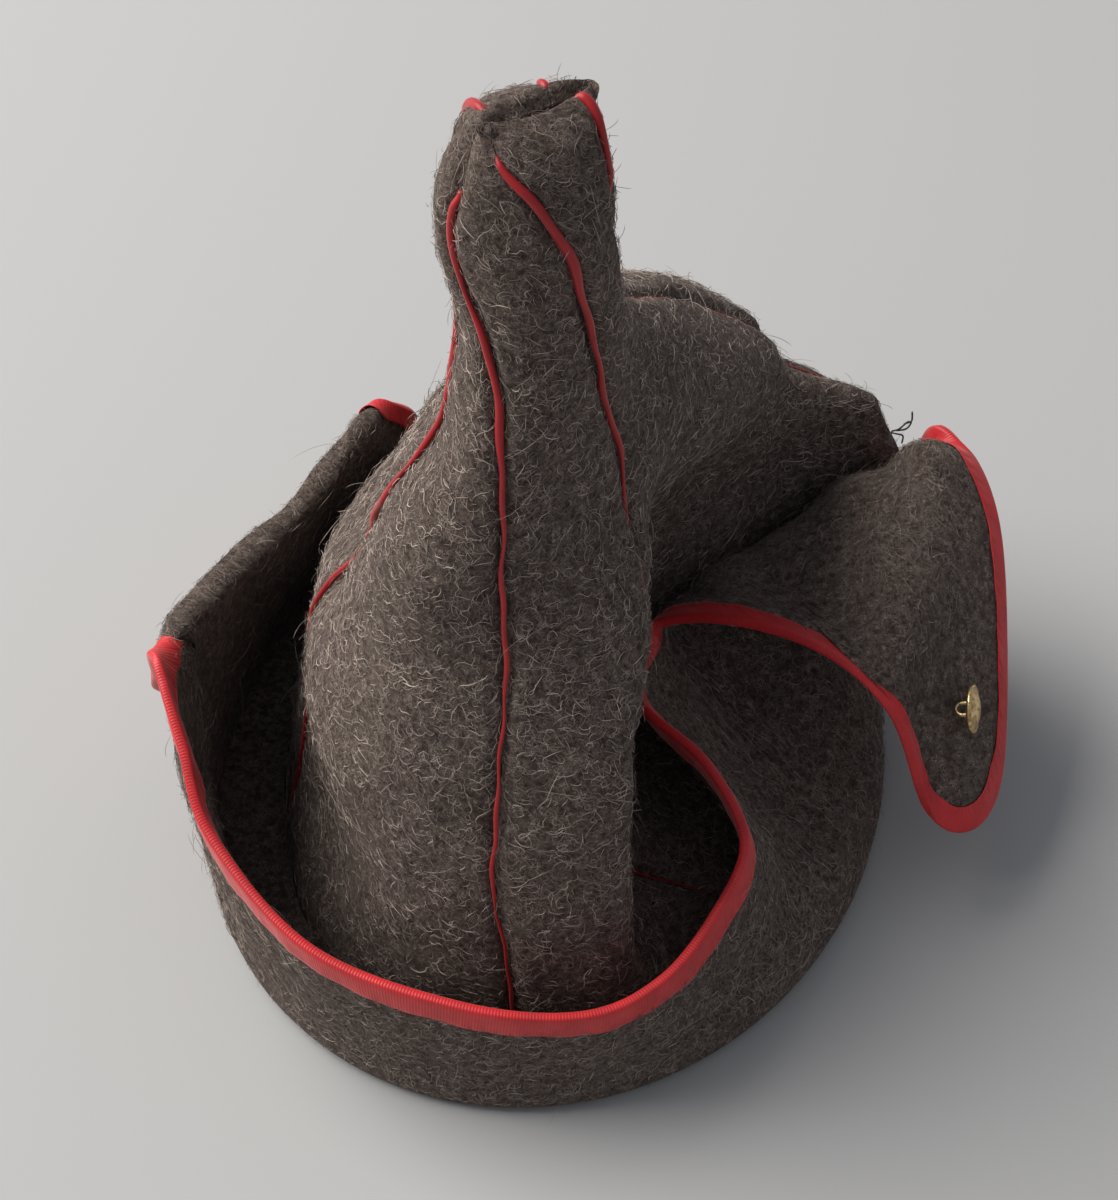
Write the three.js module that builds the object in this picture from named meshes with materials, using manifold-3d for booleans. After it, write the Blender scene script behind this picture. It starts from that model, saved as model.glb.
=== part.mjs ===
// A tall pointed felt cap with a turned-up neck and ear flap, standing on its rim.
// Six felt gores make the hollow crown, which leans back and ends in a blunt knob closed by a slit.
// A folded strip of ribbon is sewn into each seam. One felt flap runs round the nape from temple to
// temple, turned up so that the crown stands in a pocket, and its two ear lobes are bent over
// outwards. Ribbon binds the flap's whole free edge, and a brass shank button hangs on one lobe.
// Millimetres, +Z up. In the tables "side" is to the right and "fore" is away from a viewer who
// stands behind the cap. Angles go round the cap from its nape, positive towards the right.
import * as THREE from "three";
import { mergeVertices } from "three/addons/utils/BufferGeometryUtils.js";
import Module from "manifold-3d";

const FELT = 3; // thickness of the crown's and the flap's felt
const PRESSED_FELT = 1.2; // where the gores are gathered at the slit
const GAP = 0.3; // clearance between pieces that are sewn together
const LEAST_GAP = 0.1; // and the least of it where a piece bends sharply
const RIBBON = 0.6; // thickness of the folded ribbon
const BINDING_GAP = 0.5; // between the ribbon and the felt that it wraps
const PIPING_STEM = 0.5; // thickness of the piping between two gores
const PIPING_DEPTH = 0.6; // how deep the stem reaches, as a share of the felt
const PIPING_BEAD = 2; // width of the piping's bead outside the felt
const PIPING_PROUD = 1.6; // height of the bead over the felt
const PIPING_CLEAR = 0.5; // from the felt to the bead
const PUFF = 0.025; // how far a gore swells between its seams, as a share of its width
const PINCH = 0.6; // how much of that swell the seams lie inside the crown's oval
const ROOT_GAP = 0.5; // from the crown's rim to the root of the flap
const FACE_TURN = 13; // degrees that turn the head opening's long axis onto Y
const ORIGIN = { side: 8.7, fore: -10.9 }; // the middle of the cap's box

const table = (columns, rows) =>
  rows.map((row) => Object.fromEntries(columns.map((name, i) => [name, row[i]])));

// Level sections of the crown, from the rim to the slit in the knob: height, centre, half axes,
// clockwise turn of the long axis, and the angles where the six seams stand round the section.
const SEAMS = ["nape", "right_back", "right_temple", "brow", "left_temple", "left_back"];
const SECTIONS = table(
  ["up", "side", "fore", "half_width", "half_length", "turn", ...SEAMS],
  [
    [0, 4, 0, 76, 96, 13, 7, 66, 118, 178, 236, 292],
    [30, 5, -1, 73, 94, 15, 7, 64, 134, 181, 236, 291],
    [60, 8, -2, 70, 90, 18, 5, 62, 154, 190, 238, 290],
    [90, 10, -6, 67, 82, 20, 5, 60, 164, 196, 240, 292],
    [120, 7, -6, 51, 74, 22, 12, 58, 155, 196, 240, 302],
    [145, 0, -17, 32, 60, 24, 24, 70, 157, 196, 238, 308],
    [170, -1, -33, 19.5, 38, 22, 16, 80, 164, 196, 236, 298],
    [198, -2, -42, 17, 22, 20, -8, 68, 140, 184, 232, 278],
    [225, -4.8, -45.5, 18, 17, 10, -44, 42, 102, 170, 224, 262],
    [241, -4.5, -46, 16.5, 15.5, 0, -52, 6, 86, 164, 224, 256],
    [250, -3.5, -46, 14, 11.5, -10, -64, -37, 80, 161, 227, 254],
    [254.5, -2.5, -46, 11.5, 5, -18, -72, -54, 82, 160, 230, 252],
    [251, -1, -46, 9.5, 0.9, -20, -78, -66, 86, 158, 232, 250],
  ],
);
const PRESSED_FROM = 9; // the section above which the felt thins towards the slit
const PIPING_FROM = 0.14; // the level at which every piping starts
const PIPING_TO = [8.9, 10.1, 11, 11, 10.8, 7.5]; // and those at which they end, seam by seam

// How the soft crown was squeezed out of its ovals, on its right (1) or left (-1) side. A squeeze
// takes its share of a point's distance from the middle, or with a minus sign adds it. It is
// strongest at its own fore and up, and fades over its spreads.
const SQUEEZES = table(
  ["share", "on_side", "fore", "fore_spread", "up", "up_spread"],
  [
    [0.95, 1, -12, 46, 60, 56], // the deep hollow in the right side
    [0.6, 1, -30, 28, 112, 34], // the top of the hollow
    [0.68, 1, -72, 32, 58, 60], // the near end of the hollow
    [-0.62, 1, 58, 11, 70, 27], // the right temple, drawn out to the flap's tacked corner
    [-0.13, 1, 46, 24, 104, 20], // the ridge that runs up from that corner
    [0.42, -1, 22, 42, 132, 42], // the left shoulder
    [0.15, -1, -55, 35, 32, 30], // the left side of the nape
  ],
);
const SQUEEZE_EASE = 55; // distance from the middle over which the squeezes set in
const SQUEEZE_FREE = 34; // height over which the squeezes grow from nothing at the rim

// The flap from the left temple round the nape to the right temple. Each fold starts on the rim at
// its foot angle and ends on the bound edge. A lobe's fold bends over at its crest.
const BASE = { half_width: 92.5, half_length: 112.5, turn: 13 };
const FOLDS = [
  { foot: -138, edge: [-33, 96, 27] },
  { foot: -130, edge: [-43, 87, 37] },
  { foot: -122, edge: [-46, 77, 53] },
  { foot: -114, edge: [-38, 67, 73] },
  { foot: -105, edge: [-47, 63, 79], crest: [-50, 51, 80] },
  { foot: -99, edge: [-52, 64, 64], crest: [-54, 50, 79] },
  { foot: -91, edge: [-74, 40, 36], crest: [-62, 35, 76] },
  { foot: -81, edge: [-93, 15, 22], crest: [-78, 9, 78] },
  { foot: -70, edge: [-102, -8, 42], crest: [-90, -11, 81] },
  { foot: -63, edge: [-100, -20, 60], crest: [-92, -20, 84] },
  { foot: -57, edge: [-98, -32, 81], crest: [-92, -22, 73] },
  { foot: -51, edge: [-95, -41, 81] },
  { foot: -43, edge: [-90, -54, 73] },
  { foot: -32, edge: [-83, -71, 60] },
  { foot: -17, edge: [-58, -97, 49] },
  { foot: 0, edge: [-22, -111, 45] },
  { foot: 18, edge: [7, -112, 42] },
  { foot: 34, edge: [26, -103, 43] },
  { foot: 47, edge: [40, -86, 47] },
  { foot: 58, edge: [48, -68, 54] },
  { foot: 68, edge: [39, -48, 60] },
  { foot: 76, edge: [24, -30, 60] },
  { foot: 82, edge: [19, -14, 57] },
  { foot: 86, edge: [27, -2, 59], knee: [33, 10, 45] },
  { foot: 90, edge: [47, -8, 67], knee: [38, 17, 53] },
  { foot: 94, edge: [70, -21, 69], knee: [43, 23, 57] },
  { foot: 97, edge: [86, -34, 60], crest: [80, -22, 69], knee: [50, 27, 58] },
  { foot: 101, edge: [97, -42, 32], crest: [87, -18, 73], knee: [57, 31, 60] },
  { foot: 105, edge: [109, -42, 26], crest: [90, -9, 77], knee: [64, 35, 62] },
  { foot: 109, edge: [117, -28, 31], crest: [93, 2, 80], knee: [71, 39, 65] },
  { foot: 113, edge: [119, -2, 51], crest: [96, 14, 83], knee: [78, 44, 68] },
  { foot: 117, edge: [118, 23, 70], crest: [98, 26, 86], knee: [90, 47, 68] },
  { foot: 120, edge: [112, 38, 81], crest: [99, 36, 87], knee: [97, 51, 68] },
  { foot: 123, edge: [104, 49, 83] },
  { foot: 127, edge: [101, 57, 56] },
  { foot: 133, edge: [91, 65, 39] },
  { foot: 140, edge: [80, 75, 27] },
];
const SHOULDER = { up: 14, lean: 0.3 }; // the round roll of felt that every fold has at its base
const KNEE_SHARE = 0.4; // where a straight wall carries the line of the knees
const CREST_SHARE = 0.5; // and above it the lobes' crest line
const BENDS = [12, 12, 10, 9]; // half lengths of the bends: base, shoulder, knee and crest
const BEND_SHARE = 0.36; // the most that a bend takes of the shorter stretch beside it

// The button on the right lobe: its place on the flap, how far its back stands off the felt, and
// its wire loop, whose middle lies below that back.
const BUTTON = { fold: 28.3, place: 8.45, stand: 4.9, loop: 2.05, loop_below: 1.5, wire: 0.55 };
// Its turned outline from the middle of its back, as distance from the axis and height.
const BUTTON_OUTLINE = [
  [0, 0], [6, 0], [6.4, 0.55], [6.4, 1.1], [5.8, 1.4], [4.2, 2.1], [2.2, 2.5], [0, 2.6],
];

// Mesh fineness.
const ROWS_A_SECTION = 2;
const GORE_COLUMNS = 5;
const FOLD_STEPS = 2; // rows of the flap's mesh to each fold of the table
const FLAP_PLACES = [0, 1, 1.5, 2, 3.5, 5, 5.5, 6, 7, 7.5]; // as flapPoint counts them
const STRIP = [6.8, 3.4, 0]; // distances from the edge, from the ribbon's reach to the edge itself
const BEFORE_STRIP = 11; // and the least distance of the felt's next point
const LEAST_SQUARE = 0.8; // least sine of the angle between a fold and the edge
const BUTTON_SIDES = 24;
const LOOP_SIDES = [6, 16]; // round the wire, and along it
const FINEST = 0.02; // detail smaller than this is dropped from a cut piece
const STEP = 1e-3; // for slopes

const radians = THREE.MathUtils.degToRad;

// The value at a fractional row of a smooth curve through rows of numbers.
function blend(values, at) {
  const last = values.length - 1;
  const i = Math.min(Math.max(Math.floor(at), 0), last - 1);
  const t = at - i;
  const value = (k) => {
    if (k < 0) return 2 * values[0] - values[1];
    if (k > last) return 2 * values[last] - values[last - 1];
    return values[k];
  };
  const [p0, p1, p2, p3] = [value(i - 1), value(i), value(i + 1), value(i + 2)];
  const leave = (p2 - p0) / 2;
  const arrive = (p3 - p1) / 2;
  return (
    p1 + leave * t +
    (3 * (p2 - p1) - 2 * leave - arrive) * t * t +
    (2 * (p1 - p2) + leave + arrive) * t * t * t
  );
}

const section = (name, level) => blend(SECTIONS.map((row) => row[name]), level);

// A point of an oval at an angle from its nape end.
function onOval({ side = 0, fore = 0, half_width, half_length, turn }, degrees, up = 0) {
  const across = half_width * Math.sin(radians(degrees));
  const along = -half_length * Math.cos(radians(degrees));
  const [c, s] = [Math.cos(radians(turn)), Math.sin(radians(turn))];
  return new THREE.Vector3(side + across * c + along * s, fore - across * s + along * c, up);
}

const seamAngle = (k, level) => section(SEAMS[k % 6], level) + 360 * Math.floor(k / 6);

// The crown's outer face at a level, which counts the sections, and at an angle round it.
function crownPoint(level, degrees, swell) {
  const oval = {
    side: section("side", level),
    fore: section("fore", level),
    half_width: section("half_width", level) + swell,
    half_length: section("half_length", level) + swell,
    turn: section("turn", level),
  };
  const point = onOval(oval, degrees, section("up", level));
  const { smoothstep } = THREE.MathUtils;
  const kept = SQUEEZES.map((squeeze) => {
    const here =
      Math.exp(-(((point.y - squeeze.fore) / squeeze.fore_spread) ** 2)) *
      Math.exp(-(((point.z - squeeze.up) / squeeze.up_spread) ** 4)) *
      smoothstep(squeeze.on_side * point.x, 0, SQUEEZE_EASE) *
      smoothstep(point.z, 0, SQUEEZE_FREE);
    return 1 - squeeze.share * here;
  });
  point.x *= kept.reduce((a, b) => a * b);
  return point;
}

// Gore k between seams k and k + 1, at a share of its width. It swells between its seams.
function gorePoint(k, level, share) {
  const from = seamAngle(k, level);
  const to = seamAngle(k + 1, level);
  const girth = Math.PI * (section("half_width", level) + section("half_length", level));
  const swell = (PUFF * girth * (to - from) / 360) * (Math.sin(Math.PI * share) - PINCH);
  return crownPoint(level, from + (to - from) * share, swell);
}

// The slope of a path through space.
const slope = (path, at) => path(at + STEP).sub(path(at - STEP)).divideScalar(2 * STEP);

// A mesh from rings of points: each ring closes on itself, and flat caps close the ends. Every
// four-sided cell is split along its shorter diagonal.
function ringsToGeometry(rings) {
  const n = rings[0].length;
  const index = [];
  for (let r = 0; r + 1 < rings.length; r++)
    for (let i = 0; i < n; i++) {
      const j = (i + 1) % n;
      const [a, b, c, d] = [r * n + i, r * n + j, (r + 1) * n + j, (r + 1) * n + i];
      const [ring, next] = [rings[r], rings[r + 1]];
      if (ring[i].distanceTo(next[j]) < ring[j].distanceTo(next[i]))
        index.push(a, b, c, a, c, d);
      else index.push(a, b, d, b, c, d);
    }
  const last = (rings.length - 1) * n;
  for (let i = 0; i + 1 < n / 2; i++) {
    const [a, b, c, d] = [i, i + 1, n - 2 - i, n - 1 - i];
    index.push(a, d, b, last + a, last + b, last + d);
    if (b !== c) index.push(b, d, c, last + b, last + c, last + d);
  }
  const geometry = new THREE.BufferGeometry();
  geometry.setAttribute(
    "position",
    new THREE.Float32BufferAttribute(rings.flat().flatMap((p) => [p.x, p.y, p.z]), 3),
  );
  geometry.setIndex(index);
  return geometry;
}

const counted = (count) => Array.from({ length: count + 1 }, (_, i) => i / count);
const TOP = SECTIONS.length - 1;
const LEVELS = counted(TOP * ROWS_A_SECTION).map((t) => t * TOP);

const wasm = await Module();
wasm.setup();

function toSolid(geometry) {
  const bare = geometry.clone();
  bare.deleteAttribute("normal");
  bare.deleteAttribute("uv");
  const merged = mergeVertices(bare);
  return new wasm.Manifold(new wasm.Mesh({
    numProp: 3,
    vertProperties: Float32Array.from(merged.attributes.position.array),
    triVerts: Uint32Array.from(merged.index.array),
  }));
}

function toGeometry(solid) {
  const mesh = solid.getMesh();
  const geometry = new THREE.BufferGeometry();
  geometry.setAttribute("position", new THREE.Float32BufferAttribute(mesh.vertProperties, 3));
  geometry.setIndex(Array.from(mesh.triVerts));
  return geometry;
}

// A piece along rings of points, with its neighbours cut out of it where a bend brings them closer
// than their gap.
function cutClear(rings, neighbours) {
  const whole = toSolid(ringsToGeometry(rings));
  const left = neighbours.reduce((solid, other) => solid.subtract(toSolid(other)), whole);
  const pieces = toSolid(toGeometry(left.asOriginal().simplify(FINEST))).decompose();
  const [largest] = pieces.sort((a, b) => b.volume() - a.volume());
  return toGeometry(largest);
}

// The thickness of the crown's felt.
function feltAt(level) {
  const pressed = THREE.MathUtils.smoothstep(level, PRESSED_FROM, TOP);
  return THREE.MathUtils.lerp(FELT, PRESSED_FELT, pressed);
}

// Gore k's felt, grown by a margin all round.
function goreGeometry(k, grown = 0) {
  const rings = LEVELS.map((level) => {
    const slot = PIPING_STEM / 2 + GAP - grown;
    const margins = [0, 1].map((edge) => {
      const seam = slope((at) => gorePoint(k, at, edge), level).normalize();
      return slot / slope((at) => gorePoint(k, level, at), edge).cross(seam).length();
    });
    const shares = counted(GORE_COLUMNS).map((share) =>
      THREE.MathUtils.lerp(margins[0], 1 - margins[1], share));
    const face = (deep) => shares.map((share) => {
      const up = slope((at) => gorePoint(k, at, share), level);
      const normal = slope((at) => gorePoint(k, level, at), share).cross(up).normalize();
      const point = gorePoint(k, level, share).addScaledVector(normal, -deep);
      if (level === 0) point.z = 0;
      return point;
    });
    return [...face(-grown), ...face(feltAt(level) + grown).reverse()];
  });
  return ringsToGeometry(rings);
}

// The piping of seam k: a thin stem between the gores under a wider bead. It starts above the
// root of the flap.
function pipingGeometry(k) {
  const half = PIPING_BEAD / 2;
  const stem = PIPING_STEM / 2;
  const between = LEVELS.filter((level) => level > PIPING_FROM && level < PIPING_TO[k]);
  const rings = [PIPING_FROM, ...between, PIPING_TO[k]].map((level) => {
    const seam = gorePoint(k, level, 0);
    const up = slope((at) => gorePoint(k, at, 0), level).normalize();
    const after = slope((at) => gorePoint(k, level, at), 0).cross(up).normalize();
    const before = slope((at) => gorePoint((k + 5) % 6, level, at), 1).cross(up).normalize();
    const normal = after.add(before).normalize();
    const across = up.clone().cross(normal);
    const profile = [
      [-stem, -PIPING_DEPTH * feltAt(level)],
      [stem, -PIPING_DEPTH * feltAt(level)],
      [stem, PIPING_CLEAR],
      [half, (PIPING_CLEAR + PIPING_PROUD) / 2],
      [half / 2, PIPING_PROUD],
      [-half / 2, PIPING_PROUD],
      [-half, (PIPING_CLEAR + PIPING_PROUD) / 2],
      [-stem, PIPING_CLEAR],
    ];
    return profile.map(([aside, out]) =>
      seam.clone().addScaledVector(across, aside).addScaledVector(normal, out));
  });
  const gores = [k, (k + 5) % 6].flatMap((gore) =>
    [goreGeometry(gore, LEAST_GAP), goreGeometry(gore)]);
  return cutClear(rings.reverse(), gores);
}

// The crown's rim at an angle, with the swell of its gores, moved out by a distance.
function rimPoint(degrees, out) {
  let k = SEAMS.length - 1;
  while (k > 0 && seamAngle(k, 0) > (degrees + 360) % 360) k -= 1;
  if (seamAngle(0, 0) > (degrees + 360) % 360) k = -1;
  const from = k < 0 ? seamAngle(5, 0) - 360 : seamAngle(k, 0);
  const share = (((degrees + 360) % 360) - from) / (seamAngle(k + 1, 0) - from);
  const point = gorePoint((k + 6) % 6, 0, share);
  const aside = new THREE.Vector3(point.x, point.y, 0).normalize();
  return point.addScaledVector(aside, out);
}

// The corners that the flap's outer face passes above its base, at a row of the folds.
function foldCorners(fold) {
  const base = onOval(BASE, fold.foot);
  const edge = new THREE.Vector3(...fold.edge);
  const knee = fold.knee
    ? new THREE.Vector3(...fold.knee)
    : base.clone().lerp(fold.crest ? new THREE.Vector3(...fold.crest) : edge, KNEE_SHARE);
  const crest = fold.crest
    ? new THREE.Vector3(...fold.crest)
    : knee.clone().lerp(edge, CREST_SHARE);
  const shoulder = base.clone().lerp(knee, (SHOULDER.lean * SHOULDER.up) / knee.z);
  shoulder.z = SHOULDER.up;
  return [shoulder, knee, crest, edge];
}
const CORNERS = FOLDS.map(foldCorners);

// The path of the flap's outer face from its root to its edge at a fold's number: straight
// stretches joined by round bends.
function flapPath(fold) {
  const foot = blend(FOLDS.map((row) => row.foot), fold);
  const upper = CORNERS[0].map((_, i) => new THREE.Vector3(
    ...["x", "y", "z"].map((axis) => blend(CORNERS.map((row) => row[i][axis]), fold))));
  const corners = [rimPoint(foot, ROOT_GAP), onOval(BASE, foot), ...upper];
  const path = new THREE.CurvePath();
  let from = corners[0];
  for (let i = 1; i + 1 < corners.length; i++) {
    const [before, at, after] = [corners[i - 1], corners[i], corners[i + 1]];
    const shorter = Math.min(before.distanceTo(at), at.distanceTo(after));
    const reach = Math.min(BENDS[i - 1], BEND_SHARE * shorter);
    const start = at.clone().lerp(before, reach / at.distanceTo(before));
    const end = at.clone().lerp(after, reach / at.distanceTo(after));
    path.add(new THREE.LineCurve3(from, start));
    path.add(new THREE.QuadraticBezierCurve3(start, at, end));
    from = end;
  }
  path.add(new THREE.LineCurve3(from, corners.at(-1)));
  for (const curve of path.curves) curve.arcLengthDivisions = 8;
  return path;
}

// A point of the outer face by its place, which counts the stretches and bends from the root.
function flapPoint(fold, place) {
  const { curves } = flapPath(fold);
  const i = Math.min(Math.max(Math.floor(place), 0), curves.length - 1);
  return curves[i].getPoint(place - i);
}

// A point of the outer face by its distance from the edge. Past the edge it goes straight on.
function edgePoint(fold, distance) {
  const path = flapPath(fold);
  if (distance > 0) return path.getPointAt(1 - distance / path.getLength());
  const last = path.curves.at(-1);
  return last.v2.clone().addScaledVector(last.getTangent(1), -distance);
}

// A point on or off a face. "deep" goes through the felt, from the outer face towards the crown.
function offFace(face, fold, at, deep, upward) {
  const along = slope((t) => face(t, at), fold);
  const up = slope((t) => face(fold, t), at).multiplyScalar(upward);
  return face(fold, at).addScaledVector(along.cross(up).normalize(), -deep);
}

const LAST_FOLD = FOLDS.length - 1;
const FOLD_ROWS = counted(LAST_FOLD * FOLD_STEPS).map((t) => t * LAST_FOLD);

// A point on or off the strip along the edge, by its square distance from the edge.
function stripPoint(fold, distance, deep) {
  const edgeway = slope((at) => edgePoint(at, 0), fold).normalize();
  const inward = slope((at) => edgePoint(fold, at), -STEP).normalize();
  const stretch = 1 / Math.max(inward.cross(edgeway).length(), LEAST_SQUARE);
  return offFace(edgePoint, fold, distance * stretch, deep, -1);
}

// The flap's felt, grown by a margin on both faces and past its edge.
function flapGeometry(grown = 0) {
  const rings = FOLD_ROWS.map((fold) => {
    const straight = flapPath(fold).curves.at(-1).getLength();
    const strip = [...STRIP.slice(0, -1), -grown];
    const face = (deep) => [
      ...FLAP_PLACES.map((place) => offFace(flapPoint, fold, place, deep, 1)),
      offFace(edgePoint, fold, Math.max(straight, BEFORE_STRIP), deep, -1),
      ...strip.map((distance) => stripPoint(fold, distance, deep)),
    ];
    return [...face(-grown), ...face(FELT + grown).reverse()];
  });
  return ringsToGeometry(rings.reverse());
}

// The ribbon folded over the edge.
function bindingGeometry() {
  const out = BINDING_GAP + RIBBON;
  const turn = -BINDING_GAP - RIBBON / 2;
  const rings = FOLD_ROWS.map((fold) => {
    const leg = (deep, end) => [...STRIP.slice(0, -1), end].map((distance) =>
      stripPoint(fold, distance, deep));
    return [
      ...leg(-out, turn),
      stripPoint(fold, -out, FELT / 2),
      ...leg(FELT + out, turn).reverse(),
      ...leg(FELT + BINDING_GAP, -BINDING_GAP),
      ...leg(-BINDING_GAP, -BINDING_GAP).reverse(),
    ];
  });
  return cutClear(rings.reverse(), [flapGeometry(LEAST_GAP)]);
}

// The button about +Z: a flat back with a turned-over rim, a low dome, and a wire loop behind.
function buttonGeometry() {
  const outline = BUTTON_OUTLINE.map(([out, up]) => new THREE.Vector2(out, up));
  const disc = new THREE.LatheGeometry(outline, BUTTON_SIDES);
  disc.rotateX(Math.PI / 2);
  const loop = new THREE.TorusGeometry(BUTTON.loop, BUTTON.wire, ...LOOP_SIDES);
  loop.rotateX(Math.PI / 2);
  loop.translate(0, 0, -BUTTON.loop_below);
  return toGeometry(toSolid(disc).add(toSolid(loop)));
}

const felt = { color: 0x5b524b, roughness: 0.95, metalness: 0 };
const ribbon = { color: 0xbd2f30, roughness: 0.55, metalness: 0 };
const brass = { color: 0xb08a45, roughness: 0.35, metalness: 1 };

const cap = new THREE.Group();
const add = (name, geometry, look) => {
  geometry.computeVertexNormals();
  const mesh = new THREE.Mesh(geometry, new THREE.MeshStandardMaterial(look));
  mesh.name = name;
  cap.add(mesh);
  return mesh;
};

SEAMS.forEach((name, k) => {
  add(`gore_${name}`, goreGeometry(k), felt);
  add(`piping_${name}`, pipingGeometry(k), ribbon);
});
add("neck_and_ear_flap", flapGeometry(), felt);
add("edge_binding", bindingGeometry(), ribbon);

const button = add("brass_button", buttonGeometry(), brass);
button.position.copy(
  offFace(flapPoint, BUTTON.fold, BUTTON.place, FELT + BUTTON.stand, 1),
);
button.rotation.set(0, Math.PI / 2, 0);

cap.children.forEach((mesh) => {
  mesh.position.x -= ORIGIN.side;
  mesh.position.y -= ORIGIN.fore;
});
cap.rotation.z = radians(FACE_TURN);

export default cap;
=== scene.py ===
"""A tall pointed felt cap with a turned-up neck and ear flap, seen from behind and above."""
import math

import bpy
import numpy as np
from mathutils import Matrix, Vector


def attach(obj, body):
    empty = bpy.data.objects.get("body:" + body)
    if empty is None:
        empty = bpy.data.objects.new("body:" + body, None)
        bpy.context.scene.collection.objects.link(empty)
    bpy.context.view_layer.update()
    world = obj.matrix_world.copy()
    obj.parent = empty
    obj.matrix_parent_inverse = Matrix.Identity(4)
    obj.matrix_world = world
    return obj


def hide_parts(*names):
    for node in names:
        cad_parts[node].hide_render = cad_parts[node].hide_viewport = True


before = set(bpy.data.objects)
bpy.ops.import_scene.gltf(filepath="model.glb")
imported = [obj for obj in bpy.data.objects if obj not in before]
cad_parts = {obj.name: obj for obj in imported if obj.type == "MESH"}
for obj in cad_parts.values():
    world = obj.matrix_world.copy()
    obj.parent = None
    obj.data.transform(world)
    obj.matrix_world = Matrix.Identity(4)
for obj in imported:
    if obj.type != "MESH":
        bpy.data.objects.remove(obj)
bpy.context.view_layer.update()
rng = np.random.default_rng(11)

# The cap's own measures, in millimetres. "side" is to the right and "fore" away from a viewer who
# stands behind the cap. Angles go round from the nape, positive towards the right. A level is a
# row of SECTIONS and a fold a row of FOLDS, and fractions lie between two rows.
FELT, GORE_FELT = 3.0, 2.2  # how thick the flap's felt is, and the crown's
CROWN_CLEAR, FLAP_CLEAR = 0.02, 0.01  # how far their lowest points stay over the floor
FACE_TURN = 13  # degrees that the viewer's right is turned from the part's own x
ORIGIN = np.array([8.7, -10.9, 0.0])  # the part's origin, as the viewer sees it
PUFF = 0.025  # how far a gore swells between its seams, as a share of its width
PINCH = 0.6  # the share of that swelling by which its seams lie further in
SQUEEZE_FREE, SQUEEZE_EASE = 34, 55  # a squeeze grows to its whole over so much up and aside
PIPING_FROM = 0.14  # the pipings' lowest level, then the highest of each
PIPING_TO = [8.9, 10.1, 11.5, 11.5, 11.2, 7.5]
ROOT_GAP = 0.5  # from the crown's rim to the flap's root
# level, half width, how far out: the pipings thin and sink towards the base
PIPING_SHAPE = np.array([
    (0, 0.42, -0.5), (2, 0.5, -0.25), (5, 0.56, -0.1), (7, 0.8, 0.0), (8.5, 1.0, 0.1),
    (10, 1.0, 0.0), (10.8, 0.95, -0.45), (13, 0.85, -0.6),
])
# seam: the level it is sunk below, how far it stands out more, and how many times wider it is
PIPING_OWN = {"right_back": (5.3, 0, 1), "right_temple": (8.8, -0.1, 0.95),
              "left_back": (-1, 0.65, 1.35)}

SEAMS = ["nape", "right_back", "right_temple", "brow", "left_temple", "left_back"]
SECTION_COLUMNS = ["up", "side", "fore", "half_width", "half_length", "turn", *SEAMS]
SECTIONS = np.array([
    [0, 4, 0, 76, 96, 13, 7, 66, 118, 178, 236, 292],
    [30, 5, -1, 73, 94, 15, 7, 64, 134, 181, 236, 291],
    [60, 8, -2, 70, 90, 18, 5, 62, 154, 190, 238, 290],
    [90, 10, -6, 67, 82, 20, 5, 60, 164, 196, 240, 292],
    [120, 7, -6, 51, 74, 22, 12, 58, 155, 196, 240, 302],
    [145, 0, -17, 32, 60, 24, 24, 70, 157, 196, 238, 308],
    [170, -1, -33, 19.5, 38, 22, 16, 80, 164, 196, 236, 298],
    [198, -2, -42, 17, 22, 20, -8, 68, 140, 184, 232, 278],
    [225, -4.8, -45.5, 18, 17, 10, -44, 42, 102, 170, 224, 262],
    [241, -4.5, -46, 16.5, 15.5, 0, -52, 6, 86, 164, 224, 256],
    [250, -3.5, -46, 14, 11.5, -16, -70, -43, 68, 158, 224, 251],
    [254.5, -2.5, -46, 12.2, 4, -30, -84, -66, 46, 158, 230, 250],
    [252, -1.8, -46, 10.6, 0.25, -34, -92, -80, 20, 160, 238, 252],
])
# Where the crown is pressed in from one side, 1 for right and -1 for left. It bulges where the
# share is negative.
# share, on_side, fore, fore_spread, up, up_spread
SQUEEZES = [
    (0.95, 1, -12, 46, 60, 56),
    (0.6, 1, -30, 28, 112, 34),
    (0.68, 1, -72, 32, 58, 60),
    (-0.62, 1, 58, 11, 70, 27),
    (-0.13, 1, 46, 24, 104, 20),
    (0.42, -1, 22, 42, 132, 42),
    (0.15, -1, -55, 35, 32, 30),
]
# The oval on the floor along which the flap turns up
BASE = {"half_width": 92.5, "half_length": 112.5, "turn": 13}
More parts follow.
